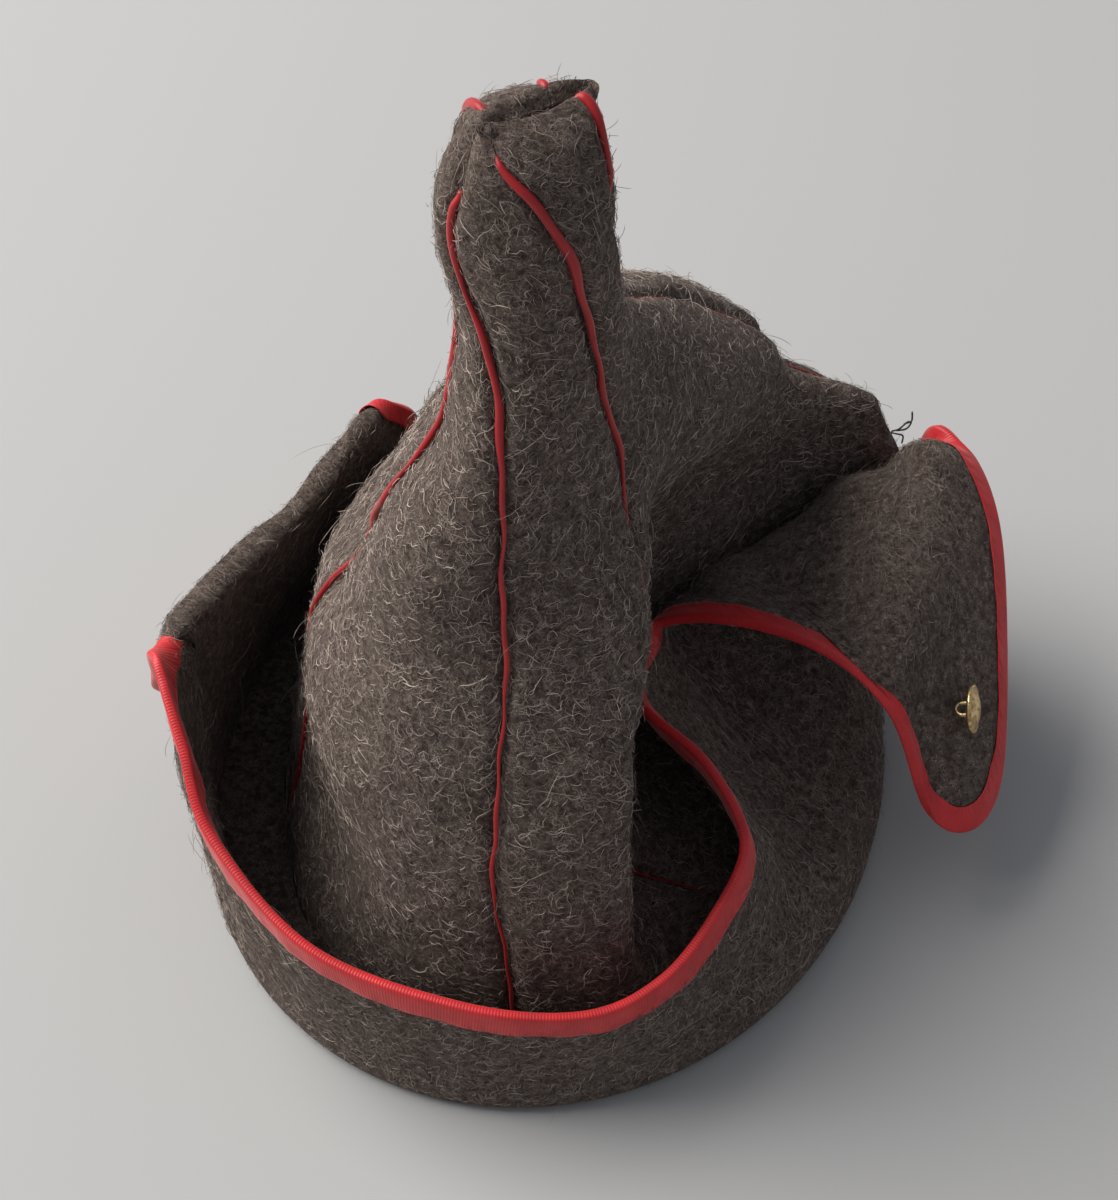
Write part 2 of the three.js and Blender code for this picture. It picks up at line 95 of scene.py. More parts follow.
# foot angle, then the edge, and for some folds the crest and the knee
FOLDS = [
    (-138, (-33, 96, 27), None, None),
    (-130, (-43, 87, 37), None, None),
    (-122, (-46, 77, 53), None, None),
    (-114, (-38, 67, 73), None, None),
    (-105, (-47, 63, 79), (-50, 51, 80), None),
    (-99, (-52, 64, 64), (-54, 50, 79), None),
    (-91, (-74, 40, 36), (-64, 35, 77.5), None),
    (-81, (-93, 15, 22), (-80, 9, 81), None),
    (-70, (-102, -8, 42), (-91, -12, 83), None),
    (-63, (-100, -20, 60), (-92, -20, 84), None),
    (-57, (-98, -32, 81), (-92, -22, 73), None),
    (-51, (-95, -41, 81), None, None),
    (-43, (-90, -54, 73), None, None),
    (-32, (-83, -71, 60), None, None),
    (-17, (-58, -97, 49), None, None),
    (0, (-22, -111, 45), None, None),
    (18, (7, -112, 42), None, None),
    (34, (26, -103, 43), None, None),
    (47, (40, -86, 47), None, None),
    (58, (48, -68, 54), None, None),
    (68, (39, -48, 60), None, None),
    (76, (24, -30, 60), None, None),
    (82, (19, -14, 57), None, None),
    (86, (27, -2, 59), None, (33, 10, 45)),
    (90, (47, -8, 67), None, (38, 17, 53)),
    (94, (70, -21, 69), None, (43, 23, 57)),
    (97, (86, -34, 60), (80, -22, 69), (50, 27, 58)),
    (101, (97, -42, 32), (87, -18, 73), (57, 31, 60)),
    (105, (109, -42, 26), (90, -9, 77), (64, 35, 62)),
    (109, (117, -28, 31), (93, 2, 80), (71, 39, 65)),
    (113, (119, -2, 51), (96, 14, 83), (78, 44, 68)),
    (117, (118, 23, 70), (98, 26, 86), (90, 47, 68)),
    (120, (112, 38, 81), (99, 36, 87), (97, 51, 68)),
    (123, (104, 49, 83), None, None),
    (127, (101, 57, 56), None, None),
    (133, (91, 65, 39), None, None),
    (140, (80, 75, 27), None, None),
]
SHOULDER_UP, SHOULDER_LEAN = 14, 0.3  # its height, and its share of the lean towards the knee
KNEE_SHARE, CREST_SHARE = 0.4, 0.5  # how far up they lie, in folds that state none
BENDS = [12, 12, 10, 9]  # how far the bends at foot, shoulder, knee and crest reach
BEND_SHARE = 0.36  # the most that a bend takes of the straight stretch beside it
ROLL_AT, ROLL_SPREAD, ROLL_MORE = 7.0, 2.4, 10  # the left lobe's crest is a wider bend
LAST_FOLD = len(FOLDS) - 1
TOP = len(SECTIONS) - 1
LEAST_SQUARE = 0.8  # keeps the ribbon narrow where a fold runs aslant to the edge
STEP = 1e-3  # half the step that slopes are measured over


# Camera and light
def table_to_frame(points):
    """Millimetres as the viewer sees them, to metres in the part's own frame."""
    points = np.asarray(points, float) - ORIGIN
    c, s = math.cos(math.radians(FACE_TURN)), math.sin(math.radians(FACE_TURN))
    x, y, z = points[..., 0], points[..., 1], points[..., 2]
    return np.stack([x * c - y * s, x * s + y * c, z], -1) / 1000


def direction_to_frame(direction):
    return Vector(table_to_frame(np.array(direction, float) + ORIGIN)).normalized()


EYE = (0, -450, 536)
GAZE = (0.0036, 0.6945, -0.7228)
SENSOR_WIDTH, LENS = 36, 75.24
SKY_COLOUR, SKY_STRENGTH = (0.86, 0.9, 1.0, 1), 0.38
camera_data = bpy.data.cameras.new("camera")
camera_data.sensor_width = SENSOR_WIDTH
camera_data.lens = LENS
camera_data.clip_start = 0.01
camera = bpy.data.objects.new("camera", camera_data)
bpy.context.scene.collection.objects.link(camera)
camera.location = Vector(table_to_frame(EYE))
back = -direction_to_frame(GAZE)
right = Vector((0, 0, 1)).cross(back).normalized()
camera.rotation_mode = "QUATERNION"
camera.rotation_quaternion = Matrix(
    (right, back.cross(right), back)).transposed().to_quaternion()
bpy.context.scene.camera = camera


def area_light(name, place, aim, size, power, colour):
    """A soft light. Its place and aim are in the viewer's millimetres, its size in metres."""
    data = bpy.data.lights.new(name, "AREA")
    data.shape = "RECTANGLE"
    data.size, data.size_y = size
    data.energy = power
    data.color = colour
    light = bpy.data.objects.new(name, data)
    bpy.context.scene.collection.objects.link(light)
    light.location = Vector(table_to_frame(place))
    way = Vector(table_to_frame(aim)) - light.location
    light.rotation_mode = "QUATERNION"
    light.rotation_quaternion = way.to_track_quat("-Z", "Y")


area_light("window", place=(-1800, 600, 1950), aim=(0, 0, 60), size=(2.4, 2.4), power=143,
           colour=(1.0, 0.98, 0.95))
area_light("fill", place=(-500, -900, 900), aim=(0, 0, 80), size=(1.2, 1.2), power=0.5,
           colour=(0.95, 0.97, 1.0))

world = bpy.data.worlds.new("studio")
bpy.context.scene.world = world
world.use_nodes = True
sky = world.node_tree.nodes["Background"]
sky.inputs["Color"].default_value = SKY_COLOUR
sky.inputs["Strength"].default_value = SKY_STRENGTH
bpy.context.scene.view_settings.view_transform = "Standard"


# Materials. Colours are red, green, blue and alpha.
FELT_DARK, FELT_BROWN = (0.068, 0.047, 0.038, 1), (0.118, 0.083, 0.065, 1)
# the first colour here is the felt's colour in the low spots of its fine grain: the wool's own
# darker pits, with painted shade in them
FELT_PIT_SHADE, FELT_STRAND = (0.034, 0.025, 0.022, 1), (0.42, 0.33, 0.275, 1)
FELT_SHEEN = (1.0, 0.86, 0.76, 1)
FIBRE_DARK, FIBRE_LIGHT = (0.060, 0.043, 0.034, 1), (0.54, 0.44, 0.375, 1)
# the pipings' red is deeper than the satin's: painted shade of the seam hollows they lie in,
# together with the wool fuzz over them
SATIN_RED, SHADED_PIPING_RED = (0.60, 0.026, 0.030), (0.40, 0.014, 0.018)
RIBBON_SHEEN = (1.0, 0.55, 0.5, 1)
BRASS_BRIGHT, BRASS_STAINED = (0.74, 0.55, 0.27, 1), (0.33, 0.21, 0.09, 1)
THREAD_DARK, THREAD_LIGHT = (0.006, 0.006, 0.008, 1), (0.03, 0.03, 0.034, 1)
FLOOR_PALE = (0.375, 0.37, 0.362, 1)
# scale, width, twist, offset: the layers of curly strands in the felt's skin
FELT_STRANDS = [
    (170, 0.020, 3.0, 0.0), (260, 0.026, 3.5, 3.1), (380, 0.034, 2.5, 7.7),
    (230, 0.020, 5.0, 13.3), (560, 0.045, 2.0, 21.1),
]
SATIN_RIBS, PIPING_RIBS = (1300, 0.2), (2300, 0.08)  # how many to the metre, and how deep
# What is left of a ribbon's red, green and blue where it is worn, and on its ribs
WORN_SHARES, RIB_SHARES = (0.72, 0.72, 0.72), (0.5, 0.3, 0.3)


class Shader:
    """A material's nodes, with short names for the usual kinds."""

    def __init__(self, name, **values):
        self.material = bpy.data.materials.new(name)
        self.material.use_nodes = True
        self.tree = self.material.node_tree
        self.skin = self.tree.nodes["Principled BSDF"]
        for key, value in values.items():
            self.skin.inputs[key.replace("_", " ")].default_value = value
        self.where = self.add("ShaderNodeTexCoord").outputs["Object"]

    def add(self, kind, **values):
        node = self.tree.nodes.new(kind)
        for key, value in values.items():
            setattr(node, key, value)
        return node

    def put(self, value, socket):
        if isinstance(value, bpy.types.NodeSocket):
            self.tree.links.new(value, socket)
        else:
            socket.default_value = value

    def noise(self, scale, detail=3.0, rough=0.5, twist=0.0, where=None):
        node = self.add("ShaderNodeTexNoise")
        self.put(where or self.where, node.inputs["Vector"])
        for key, value in [("Scale", scale), ("Detail", detail), ("Roughness", rough),
                           ("Distortion", twist)]:
            node.inputs[key].default_value = value
        return node.outputs["Fac"]

    def math(self, operation, *values):
        node = self.add("ShaderNodeMath", operation=operation)
        for value, socket in zip(values, node.inputs):
            self.put(value, socket)
        return node.outputs[0]

    def ramp(self, value, low, high, out_low=0.0, out_high=1.0):
        node = self.add("ShaderNodeMapRange")
        for key, number in [("Value", value), ("From Min", low), ("From Max", high),
                            ("To Min", out_low), ("To Max", out_high)]:
            self.put(number, node.inputs[key])
        return node.outputs["Result"]

    def mix(self, share, first, second):
        node = self.add("ShaderNodeMix", data_type="RGBA")
        self.put(share, node.inputs["Factor"])
        # The colour sockets come after the float and vector ones of the same names.
        colours = [s for s in node.inputs if s.type == "RGBA"]
        self.put(first, colours[0])
        self.put(second, colours[1])
        return [s for s in node.outputs if s.type == "RGBA"][0]

    def strands(self, scale, width, twist, offset):
        """Thin curly lines, where a noise passes through its middle value."""
        moved = self.add("ShaderNodeVectorMath", operation="ADD")
        self.put(self.where, moved.inputs[0])
        moved.inputs[1].default_value = (offset, offset * 1.7, -offset)
        value = self.noise(scale, 1.0, 0.5, twist, moved.outputs[0])
        off = self.math("ABSOLUTE", self.math("SUBTRACT", value, 0.5))
        return self.ramp(off, 0.0, width, 1.0, 0.0)

    def bump(self, height, strength, distance):
        node = self.add("ShaderNodeBump")
        node.inputs["Strength"].default_value = strength
        node.inputs["Distance"].default_value = distance
        self.put(height, node.inputs["Height"])
        self.put(node.outputs["Normal"], self.skin.inputs["Normal"])


def felt_material():
    shader = Shader("grey_brown_wool_felt", Roughness=0.95, Sheen_Weight=0.1,
                    Sheen_Roughness=0.5, Specular_IOR_Level=0.1)
    shader.skin.inputs["Sheen Tint"].default_value = FELT_SHEEN
    patches = shader.noise(26, 4.0, 0.6)
    colour = shader.mix(shader.ramp(patches, 0.35, 0.68), FELT_DARK, FELT_BROWN)
    grain = shader.noise(900, 3.0, 0.6)
    # where the fine grain dips, the felt turns darkest: painted shade in the pits, over the wool's
    # own darker tone
    colour = shader.mix(shader.ramp(grain, 0.40, 0.60), FELT_PIT_SHADE, colour)
    light = None
    for scale, width, twist, offset in FELT_STRANDS:
        lines = shader.strands(scale, width, twist, offset)
        light = lines if light is None else shader.math("MAXIMUM", light, lines)
    light = shader.math("MULTIPLY", light, shader.ramp(shader.noise(400, 2.0), 0.4, 0.6))
    colour = shader.mix(shader.math("MULTIPLY", light, 0.8), colour, FELT_STRAND)
    shader.put(colour, shader.skin.inputs["Base Color"])
    height = shader.math("ADD", shader.math("MULTIPLY", light, 0.8), grain)
    shader.bump(height, 0.8, 0.0007)
    return shader.material


def fibre_material():
    shader = Shader("wool_fibres", Roughness=0.8, Specular_IOR_Level=0.25)
    tone = shader.add("ShaderNodeAttribute", attribute_name="tone").outputs["Fac"]
    colour = shader.mix(tone, FIBRE_DARK, FIBRE_LIGHT)
    shader.put(colour, shader.skin.inputs["Base Color"])
    return shader.material


def part_of(colour, shares):
    """A colour with only these shares of its red, green and blue left."""
    return (*(c * share for c, share in zip(colour, shares)), 1)


def ribbon_material(name, colour, ribs, depth):
    """Red satin with fine ribs across the ribbon. The UV map holds its length and width."""
    shader = Shader(name, Roughness=0.42, Sheen_Weight=0.35, Sheen_Roughness=0.35,
                    Specular_IOR_Level=0.35)
    shader.skin.inputs["Sheen Tint"].default_value = RIBBON_SHEEN
    parts = shader.add("ShaderNodeSeparateXYZ")
    shader.put(shader.add("ShaderNodeUVMap").outputs["UV"], parts.inputs[0])
    along = shader.math("MULTIPLY", parts.outputs[0], math.tau * ribs)
    rib = shader.ramp(shader.math("SINE", along), -1.0, 1.0)
    worn = shader.noise(120, 4.0, 0.6)
    tone = shader.mix(shader.ramp(worn, 0.3, 0.7), part_of(colour, WORN_SHARES), (*colour, 1))
    shade = shader.mix(shader.math("MULTIPLY", rib, depth), tone, part_of(colour, RIB_SHARES))
    shader.put(shade, shader.skin.inputs["Base Color"])
    shader.put(shader.ramp(worn, 0.3, 0.7, 0.5, 0.36), shader.skin.inputs["Roughness"])
    height = shader.math("ADD", shader.math("MULTIPLY", rib, depth * 4),
                         shader.math("MULTIPLY", worn, 2.0))
    shader.bump(height, 0.35, 0.0002)
    return shader.material


def brass_material():
    shader = Shader("worn_brass", Metallic=1.0, Roughness=0.3)
    stain = shader.noise(700, 4.0, 0.6)
    colour = shader.mix(shader.ramp(stain, 0.42, 0.66), BRASS_BRIGHT, BRASS_STAINED)
    shader.put(colour, shader.skin.inputs["Base Color"])
    shader.put(shader.ramp(stain, 0.4, 0.65, 0.22, 0.5), shader.skin.inputs["Roughness"])
    shader.bump(stain, 0.2, 0.0001)
    return shader.material


def thread_material():
    shader = Shader("black_thread", Roughness=0.6, Sheen_Weight=0.2)
    ply = shader.noise(2500, 2.0)
    shader.put(shader.mix(ply, THREAD_DARK, THREAD_LIGHT), shader.skin.inputs["Base Color"])
    shader.bump(ply, 0.4, 0.0001)
    return shader.material


def floor_material():
    shader = Shader("pale_floor", Roughness=0.9)
    shader.skin.inputs["Base Color"].default_value = FLOOR_PALE
    return shader.material


felt = felt_material()
fibre = fibre_material()
satin = ribbon_material("red_satin_ribbon", SATIN_RED, *SATIN_RIBS)
piped = ribbon_material("red_piping_ribbon", SHADED_PIPING_RED, *PIPING_RIBS)
brass = brass_material()
black = thread_material()


# Meshes
def make_piece(name, points, faces, material, uv=None, tone=None):
    """A smooth mesh of four-sided faces that rides on the part. Points come as the viewer's."""
    mesh = bpy.data.meshes.new(name)
    flat = table_to_frame(points.reshape(-1, 3))
    mesh.vertices.add(len(flat))
    mesh.vertices.foreach_set("co", flat.astype(np.float32).ravel())
    corners = faces.shape[1]
    mesh.loops.add(faces.size)
    mesh.loops.foreach_set("vertex_index", faces.astype(np.int32).ravel())
    mesh.polygons.add(len(faces))
    mesh.polygons.foreach_set("loop_start", np.arange(0, faces.size, corners, dtype=np.int32))
    mesh.polygons.foreach_set("loop_total", np.full(len(faces), corners, dtype=np.int32))
    mesh.update(calc_edges=True)
    mesh.polygons.foreach_set("use_smooth", np.ones(len(faces), dtype=bool))
    if uv is not None:
        layer = mesh.uv_layers.new(name="length_and_width")
        layer.data.foreach_set("uv", uv.reshape(-1, 2)[faces.ravel()].astype(np.float32).ravel())
    if tone is not None:
        layer = mesh.attributes.new("tone", "FLOAT", "POINT")
        layer.data.foreach_set("value", tone.astype(np.float32).ravel())
    mesh.materials.append(material)
    piece = bpy.data.objects.new(name, mesh)
    bpy.context.scene.collection.objects.link(piece)
    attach(piece, "root")
    return piece


def ring_faces(rows, columns):
    """Faces between rings, each of which closes on itself."""
    r, c = np.meshgrid(np.arange(rows - 1), np.arange(columns), indexing="ij")
    after = (c + 1) % columns
    quads = [r * columns + c, r * columns + after, (r + 1) * columns + after,
             (r + 1) * columns + c]
    return np.stack(quads, -1).reshape(-1, 4)


def end_faces(rows, columns):
    """Strips that close the two ends of rings whose halves lie face to face."""
    i = np.arange(columns // 2 - 1)
    strip = np.stack([i, columns - 1 - i, columns - 2 - i, i + 1], -1)
    last = (rows - 1) * columns
    return np.concatenate([strip, strip[:, ::-1] + last])


def closed_faces(rows, columns):
    """The faces between rings, and those that close both ends."""
    return np.concatenate([ring_faces(rows, columns), end_faces(rows, columns)])


def run_along(line):
    """How far along a line each of its points lies."""
    steps = np.linalg.norm(np.diff(line, axis=0), axis=1)
    return np.concatenate([[0], np.cumsum(steps)])


def cell_areas(grid):
    """The area of each cell between a grid's rows and columns."""
    down = grid[1:, :-1] - grid[:-1, :-1]
    over = grid[:-1, 1:] - grid[:-1, :-1]
    return np.linalg.norm(np.cross(down, over), axis=-1)


def ripple(length, waves):
    """Uneven waves along a length: how strong each is, its span for a radian, and its phase."""
    return sum(strong * np.sin(length / span + phase) for strong, span, phase in waves)


def unit(vectors):
    return vectors / np.maximum(np.linalg.norm(vectors, axis=-1, keepdims=True), 1e-12)


def slope(path, at):
    return (path(at + STEP) - path(at - STEP)) / (2 * STEP)


def blend(values, at):
    """A smooth curve through rows of numbers, read at fractional rows."""
    values = np.asarray(values, float)
    at = np.asarray(at, float)
    last = len(values) - 1
    i = np.clip(np.floor(at).astype(int), 0, last - 1)
    t = at - i
    if values.ndim > 1:
        t = t[..., None]
    ends = [2 * values[:1] - values[1:2], values, 2 * values[-1:] - values[-2:-1]]
    padded = np.concatenate(ends)
    p0, p1, p2, p3 = (padded[i + k] for k in range(4))
    leave, arrive = (p2 - p0) / 2, (p3 - p1) / 2
    return (p1 + leave * t + (3 * (p2 - p1) - 2 * leave - arrive) * t**2
            + (2 * (p1 - p2) + leave + arrive) * t**3)


def section(name, level):
    return blend(SECTIONS[:, SECTION_COLUMNS.index(name)], level)


def smoothstep(value, low, high):
    t = np.clip((value - low) / (high - low), 0, 1)
    return t * t * (3 - 2 * t)


LUMP_SPANS, LUMP_WAVES = (16, 60), 16  # the shortest and the longest wave, and how many there are
WAVES = [(unit(rng.normal(size=3)) * math.tau / rng.uniform(*LUMP_SPANS), rng.uniform(0, math.tau))
         for _ in range(LUMP_WAVES)]


def lumps(points):
    """A soft unevenness of about one, the same for points that touch."""
    return sum(np.sin(points @ wave + phase) for wave, phase in WAVES) / 3


# The crown
def on_oval(oval, degrees, up=0.0):
    """A point by its angle from the nape, on an oval that may be turned and moved."""
    turn = np.radians(oval["turn"])
    across = oval["half_width"] * np.sin(np.radians(degrees))
    along = -oval["half_length"] * np.cos(np.radians(degrees))
    side = oval.get("side", 0) + across * np.cos(turn) + along * np.sin(turn)
    fore = oval.get("fore", 0) - across * np.sin(turn) + along * np.cos(turn)
    return np.stack([side, fore, side * 0 + up], -1)


def seam_angle(k, level):
    return section(SEAMS[k % 6], level) + 360 * (k // 6)


def crown_point(level, degrees, swell):
    """A point by level and angle, with its oval swollen and then pressed in by SQUEEZES."""
    oval = {name: section(name, level) for name in SECTION_COLUMNS[1:6]}
    oval["half_width"] = oval["half_width"] + swell
    oval["half_length"] = oval["half_length"] + swell
    point = on_oval(oval, degrees, section("up", level))
    side, fore, up = point[..., 0], point[..., 1], point[..., 2]
    kept = 1
    for share, on_side, at_fore, fore_spread, at_up, up_spread in SQUEEZES:
        here = np.exp(-((fore - at_fore) / fore_spread) ** 2 - ((up - at_up) / up_spread) ** 4)
        kept = kept * (1 - share * here * smoothstep(on_side * side, 0, SQUEEZE_EASE)
                       * smoothstep(up, 0, SQUEEZE_FREE))
    point[..., 0] = side * kept
    return point


def gore_point(k, level, share):
    """A point by level and by its share of the way from the gore's own seam to the next."""
    start, end = seam_angle(k, level), seam_angle(k + 1, level)
    girth = np.pi * (section("half_width", level) + section("half_length", level))
    swell = PUFF * girth * (end - start) / 360 * (np.sin(np.pi * share) - PINCH)
    return crown_point(level, start + (end - start) * share, swell)


def gore_normal(k, level, share):
    up = slope(lambda at: gore_point(k, at, share), level)
    return unit(np.cross(slope(lambda at: gore_point(k, level, at), share), up))


DIP, DIP_SPREAD = 1.5, 1.7  # how deep the felt dips at a seam, and how far that reaches
RIDGE, RIDGE_AT, RIDGE_SPREAD = 0.35, 4, 2.5  # the low ridge beside it
DIP_LOSS, DIP_LEVELS = 0.9, (8.8, 10.4)  # what of the dip is lost between these levels
CROWDING = 0.45  # how much closer the columns of faces lie towards the seams
CROWN_UNEVEN, EVEN_HEIGHT = 0.45, 12  # how uneven the felt is, from none at the rim


def gore_grid(k, rows, columns, deep=0.0):
    """One face of a gore. It dips into its seams, and lies uneven as felt does."""
    level = np.linspace(0, TOP, rows)[:, None] + np.zeros(columns)
    even = np.linspace(0, 1, columns)
    crowded = 0.5 - 0.5 * np.cos(np.pi * even)
    share = np.zeros(level.shape) + even * (1 - CROWDING) + CROWDING * crowded
    points = gore_point(k, level, share)
    normals = gore_normal(k, level, share)
    width = np.linalg.norm(slope(lambda at: gore_point(k, level, at), share), axis=-1)
    from_seam = np.minimum(share, 1 - share) * width
    dip = DIP * np.exp(-((from_seam / DIP_SPREAD) ** 2))
    dip = dip - RIDGE * np.exp(-(((from_seam - RIDGE_AT) / RIDGE_SPREAD) ** 2))
    dip = dip * (1 - DIP_LOSS * smoothstep(level, *DIP_LEVELS))
    uneven = CROWN_UNEVEN * lumps(points) * smoothstep(points[..., 2], 0, EVEN_HEIGHT)
    points = points + normals * (uneven - dip - deep)[..., None]
    points[..., 2] = np.maximum(points[..., 2], CROWN_CLEAR)
    return points, normals


GORE_ROWS, GORE_COLUMNS = 150, 24
gores, gore_pieces = {}, {}
for k, name in enumerate(SEAMS):
    outer, normals = gore_grid(k, GORE_ROWS, GORE_COLUMNS)
    inner, _ = gore_grid(k, GORE_ROWS, GORE_COLUMNS, GORE_FELT)
    ring = np.concatenate([outer, inner[:, ::-1]], 1)
    faces = closed_faces(GORE_ROWS, 2 * GORE_COLUMNS)
    piece = make_piece(f"felt_gore_{name}", ring, faces, felt)
    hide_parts(f"gore_{name}")
    gores[name] = (outer, normals)
    gore_pieces[name] = piece


# The pipings
PIPING_ROWS, PIPING_SIDES = 320, 12
# strong, span: two waves that shift a piping sideways, then two that change its width
PIPING_WAVES = [(0.28, 6.1), (0.2, 2.7), (0.2, 9.0), (0.14, 3.3)]
END_TAPER, END_THIN, END_DEEP = 4, 0.4, 0.9  # the upper end thins and sinks over END_TAPER
SUNK_LEVELS, SUNK_THIN, SUNK_DEEP = 0.7, 0.4, 1.1  # so does what PIPING_OWN sinks, over levels
for k, name in enumerate(SEAMS):
    level = np.linspace(PIPING_FROM, PIPING_TO[k], PIPING_ROWS)
    share = np.zeros(PIPING_ROWS)
    seam = gore_point(k, level, share)
    up = unit(slope(lambda at: gore_point(k, at, share), level))
    normal = unit(gore_normal(k, level, share) + gore_normal((k + 5) % 6, level, share + 1))
    across = np.cross(up, normal)
    length = run_along(seam)
    waves = [(*wave, phase) for wave, phase in zip(PIPING_WAVES, rng.uniform(0, math.tau, 4))]
    width, stand = (np.interp(level, PIPING_SHAPE[:, 0], PIPING_SHAPE[:, i]) for i in (1, 2))
    width = width * (1 + ripple(length, waves[2:]))
    ended = 1 - smoothstep(length[-1] - length, 0, END_TAPER)
    sunk_below, raised, wider = PIPING_OWN.get(name, (-1, 0, 1))
    sunk = smoothstep(sunk_below - level, 0, SUNK_LEVELS)
    width = width * wider * (1 - END_THIN * ended) * (1 - SUNK_THIN * sunk)
    stand = stand + raised - END_DEEP * ended - SUNK_DEEP * sunk
    spin = np.arange(PIPING_SIDES) / PIPING_SIDES * math.tau
    aside = ripple(length, waves[:2])[:, None] + width[:, None] * np.cos(spin)
    out = width[:, None] * np.sin(spin) + stand[:, None]
    points = seam[:, None] + across[:, None] * aside[..., None] + normal[:, None] * out[..., None]
    uv = np.stack([length[:, None] / 1000 + spin * 0, spin / 1000 + length[:, None] * 0], -1)
    faces = closed_faces(PIPING_ROWS, PIPING_SIDES)
    piece = make_piece(f"ribbon_piping_{name}", points, faces, piped, uv)
    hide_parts(f"piping_{name}")


# The flap
def fold_corners(foot, edge, crest, knee):
    """The shoulder, knee, crest and edge of a row of FOLDS."""
    base = on_oval(BASE, float(foot))
    edge = np.array(edge, float)
    aim = np.array(crest, float) if crest else edge
    knee = np.array(knee, float) if knee else base + (aim - base) * KNEE_SHARE
    crest = np.array(crest, float) if crest else knee + (edge - knee) * CREST_SHARE
    shoulder = base + (knee - base) * SHOULDER_LEAN * SHOULDER_UP / knee[2]
    shoulder[2] = SHOULDER_UP
    return [shoulder, knee, crest, edge]


FEET = np.array([fold[0] for fold in FOLDS], float)
CORNERS = np.array([fold_corners(*fold) for fold in FOLDS])


def rim_point(degrees):
    """Where the flap's root lies at an angle, just outside the crown's rim."""
    turned = degrees % 360
    k = 5
    while k > -1 and seam_angle(k, 0) > turned:
        k -= 1
    start = seam_angle(k, 0) if k >= 0 else seam_angle(5, 0) - 360
    share = (turned - start) / (seam_angle(k + 1, 0) - start)
    point = gore_point(k % 6, 0.0, share)
    return point + unit(point * (1, 1, 0)) * ROOT_GAP


RIM_ANGLES = np.linspace(-150, 155, 800)  # to a little past the first and the last fold
RIM = np.array([rim_point(degrees) for degrees in RIM_ANGLES])
CREST, EDGE = 4, 5  # where these corners come in the list of flap_corners


def flap_corners(fold):
    """The root, foot, shoulder, knee, crest and edge of a fold."""
    foot = blend(FEET, fold)
    root = np.stack([np.interp(foot, RIM_ANGLES, RIM[:, i]) for i in range(3)], -1)
    upper = blend(CORNERS.reshape(len(FOLDS), -1), fold).reshape(*fold.shape, 4, 3)
    return [root, on_oval(BASE, foot), *np.moveaxis(upper, -2, 0)]


OPEN_END = 9  # the first and last stretches also run on past their ends


def flap_point(fold, place):
    """The flap's outer face. A place counts the straight stretches and bends from the root."""
    corners = flap_corners(fold)
    result = np.zeros((*fold.shape, 3))
    start = corners[0]
    for i in range(1, EDGE + 1):
        at = corners[i]
        if i < EDGE:
            before, after = corners[i - 1], corners[i + 1]
            into = np.linalg.norm(at - before, axis=-1, keepdims=True)
            out = np.linalg.norm(after - at, axis=-1, keepdims=True)
            reach = BENDS[i - 1]
            if i == CREST:
                reach = reach + ROLL_MORE * np.exp(
                    -((fold[..., None] - ROLL_AT) / ROLL_SPREAD) ** 2)
            reach = np.minimum(reach, BEND_SHARE * np.minimum(into, out))
            stop, go_on = at + (before - at) * reach / into, at + (after - at) * reach / out
        else:
            stop = go_on = at
        t = (place - 2 * (i - 1))[..., None]
        line = start + (stop - start) * t
        low = 0 if i > 1 else -OPEN_END
        high = 1 if i < EDGE else OPEN_END
        result = np.where((t >= low) & (t <= high), line, result)
        t = t - 1
        bend = stop * (1 - t) ** 2 + 2 * at * t * (1 - t) + go_on * t**2
        result = np.where((t > 0) & (t < 1) & (i < EDGE), bend, result)
        start = go_on
    return result


def flap_normal(fold, place):
    """Away from the crown's side of the felt."""
    along = slope(lambda at: flap_point(at, place), fold)
    up = slope(lambda at: flap_point(fold, at), place)
    return unit(np.cross(along, up))


FLAP_ROWS, FLAP_COLUMNS = 330, 46
EDGE_THIN, EDGE_THIN_FROM = 1.5, 12  # how much thinner the sewn edge is, and from how far in
# The felt lies even up to the first place or distance from the edge, and uneven past the second.
CALM_PLACES, CALM_DISTANCES = (2.0, 4.0), (8, 14)
FLAP_UNEVEN, FLAP_LUMPS = 0.5, 0.8
ROOT_LIFT = 1.5  # how far the inner face's root is raised off the floor
fold = np.linspace(0, LAST_FOLD, FLAP_ROWS)[:, None] + np.zeros(FLAP_COLUMNS)
place = np.linspace(0, 9, FLAP_COLUMNS)[None, :] + np.zeros((FLAP_ROWS, 1))
face = flap_point(fold, place)
flap_out = flap_normal(fold, place)
from_edge = np.linalg.norm(face - face[:, -1:], axis=-1)
free = smoothstep(place, *CALM_PLACES) * smoothstep(from_edge, *CALM_DISTANCES)
uneven = FLAP_UNEVEN * lumps(face * FLAP_LUMPS) * free
outside = face + flap_out * uneven[..., None]
felt_here = FELT - EDGE_THIN * (1 - smoothstep(from_edge, 0, EDGE_THIN_FROM))
inside = face + flap_out * (uneven - felt_here)[..., None]
outside[..., 2] = np.maximum(outside[..., 2], FLAP_CLEAR)
inside[:, 0, 2] += ROOT_LIFT
ring = np.concatenate([outside, inside[:, ::-1]], 1)
faces = closed_faces(FLAP_ROWS, 2 * FLAP_COLUMNS)
flap = make_piece("felt_neck_and_ear_flap", ring, faces, felt)
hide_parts("neck_and_ear_flap")


# The edge binding
def strip_point(fold, distance):
    """A point by its square distance from the flap's edge, along the outer face."""
    corners = flap_corners(fold)
    crest, edge = corners[CREST], corners[EDGE]
    inward = unit(crest - edge)
    edgeway = unit(blend(CORNERS[:, 3], fold + STEP) - blend(CORNERS[:, 3], fold - STEP))
    square = np.linalg.norm(np.cross(inward, edgeway), axis=-1, keepdims=True)
    return edge + inward * distance[..., None] / np.maximum(square, LEAST_SQUARE)


